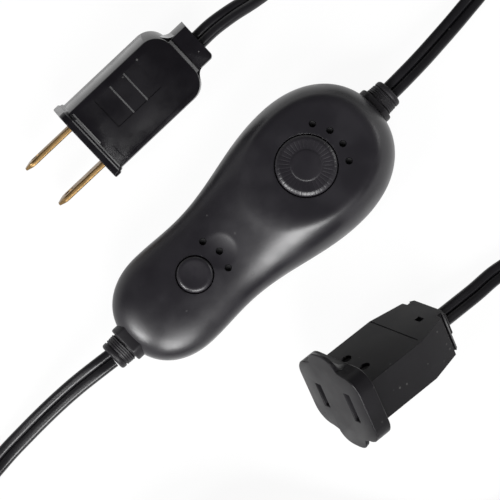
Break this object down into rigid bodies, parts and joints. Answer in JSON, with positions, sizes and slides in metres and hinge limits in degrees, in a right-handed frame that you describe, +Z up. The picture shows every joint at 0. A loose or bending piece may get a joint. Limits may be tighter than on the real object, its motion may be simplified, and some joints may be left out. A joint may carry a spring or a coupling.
{
  "type": "in-line lamp dimmer",
  "caption": "Corded in-line lamp dimmer: a waisted dark case with a rotary dial and a push button, a flat cord from each end, a bladed plug and a slotted outlet.",
  "frame": {"origin": "middle of the case's footprint, on the surface that it stands on; the cords, the plug and the outlet are left out", "axes": "+X along the case towards its dial end, +Z up through the dial, +Y to the left of +X seen from above"},
  "size_m": [0.2531, 0.1697, 0.0344],
  "materials": {
    "case": "satin, fine moulded grain",
    "control_plastic": "satin",
    "relief_rubber": "matt, moulded ribs",
    "moulded_plug": "satin soft vinyl",
    "cord": "satin vinyl sheath",
    "tie": "matt",
    "brass_strip": "bright drawn strip",
    "screw_steel": "plated",
    "spring_steel": "drawn wire",
    "can_metal": "satin",
    "sink_metal": "satin",
    "board": "bare laminate",
    "track": "carbon film on laminate",
    "shaft_plastic": "satin",
    "switch_plastic": "satin",
    "plunger_plastic": "satin",
    "epoxy": "matt moulding",
    "ferrite": "matt",
    "copper_wire": "enamelled wire",
    "film": "glossy",
    "resistor": "lacquered",
    "diac_glass": "glossy",
    "core_sleeve": "satin"
  },
  "bodies": {
    "dimmer": {"upper_shell": "case", "lower_shell": "case", "case_screw_set": "screw_steel", "circuit_board": "board", "board_screw_set": "screw_steel", "pot_case": "can_metal", "pot_track": "track", "pot_terminals": "brass_strip", "switch_body": "switch_plastic", "button_spring": "spring_steel", "heat_sink": "sink_metal", "triac": "epoxy", "choke_core": "ferrite", "choke_winding": "copper_wire", "film_capacitor": "film", "resistor_set": "resistor", "diac": "diac_glass", "line_leads": "core_sleeve", "load_leads": "core_sleeve", "line_strain_relief": "relief_rubber", "load_strain_relief": "relief_rubber", "plug_body": "moulded_plug", "plug_blade_live": "brass_strip", "plug_blade_neutral": "brass_strip", "outlet_body": "moulded_plug", "outlet_contact_live": "brass_strip", "outlet_contact_neutral": "brass_strip", "line_cord_near": "cord", "line_cord_coil": "cord", "line_cord_far": "cord", "line_coil_tie": "tie", "load_cord_near": "cord", "load_cord_coil": "cord", "load_cord_far": "cord", "load_coil_tie": "tie"},
    "dial_unit": {"dial": "control_plastic", "pot_shaft": "shaft_plastic"},
    "button_unit": {"push_button": "control_plastic", "switch_plunger": "plunger_plastic"}
  },
  "joints": [
    {"name": "dial_turn", "type": "hinge", "parent": "dimmer", "child": "dial_unit", "pos_m": [0.0196, 0, 0.0205], "axis": [0, 0, 1], "range_deg": [-135, 135]},
    {"name": "button_press", "type": "slide", "parent": "dimmer", "child": "button_unit", "axis": [0, 0, -1], "range_m": [0, 0.002], "stiffness_N_per_m": 600, "deforming": ["button_spring"]}
  ]
}
